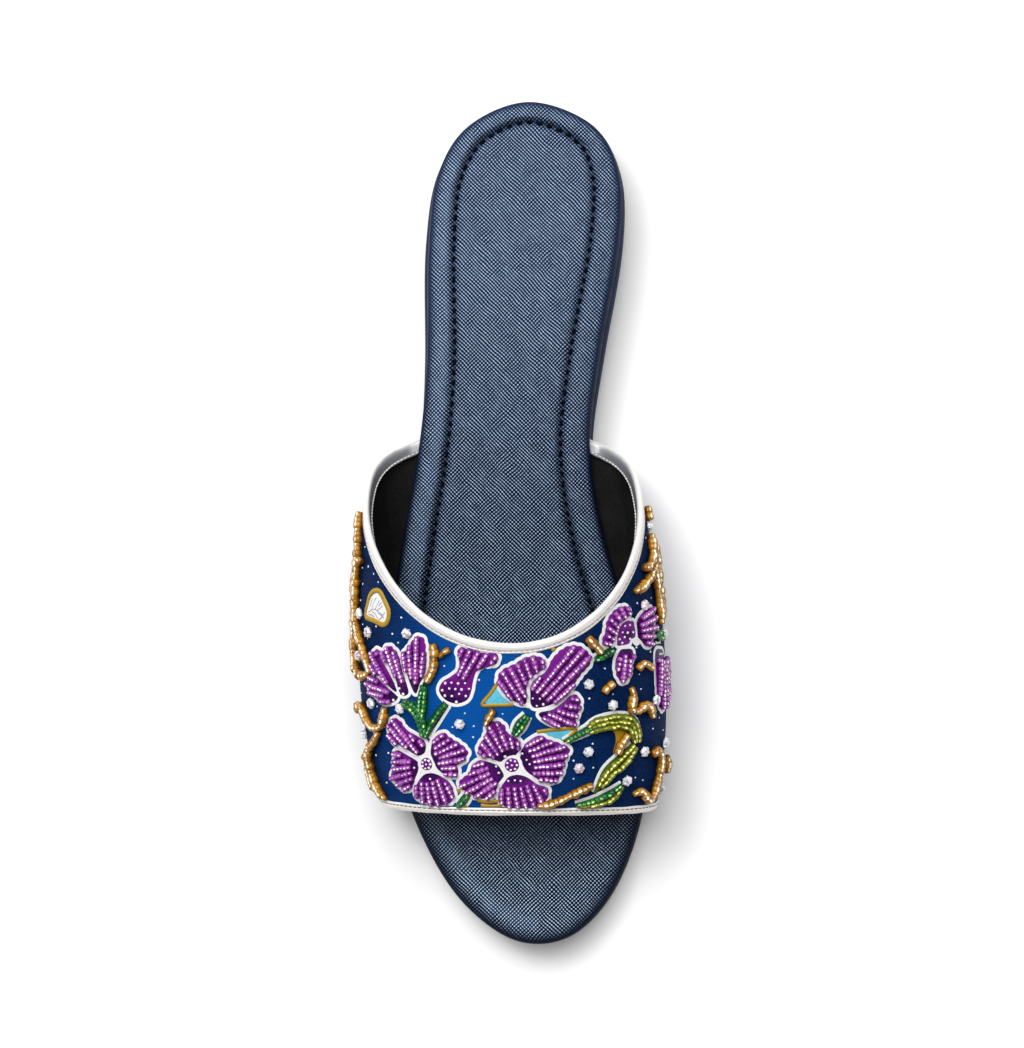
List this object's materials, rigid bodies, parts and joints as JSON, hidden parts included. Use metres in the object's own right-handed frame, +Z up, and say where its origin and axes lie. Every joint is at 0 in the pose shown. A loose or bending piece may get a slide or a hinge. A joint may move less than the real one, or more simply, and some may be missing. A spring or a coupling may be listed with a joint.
{
  "type": "beaded slide sandal",
  "caption": "Open-toed, open-backed slide for the right foot: padded footbed on a low covered wedge, thin outsole and a bead-worked arched vamp with bound edges.",
  "frame": {"origin": "centre of the plan bounding box, on the floor", "axes": "+X towards the medial side of the foot, +Y towards the heel with the toe at -Y, +Z up"},
  "size_m": [0.0911, 0.2508, 0.0606],
  "materials": {
    "outsole": "satin dark brown",
    "wedge_cover": "navy, cross-grained",
    "footbed": "navy, cross-grained, padded",
    "vamp_cloth": "blue dyed cloth with bead embroidery",
    "binding": "metallic silver"
  },
  "bodies": {
    "root": {"outsole": "outsole", "covered_wedge": "wedge_cover", "insole": "footbed", "upper": "vamp_cloth", "throat_binding": "binding", "toe_binding": "binding"}
  },
  "joints": []
}
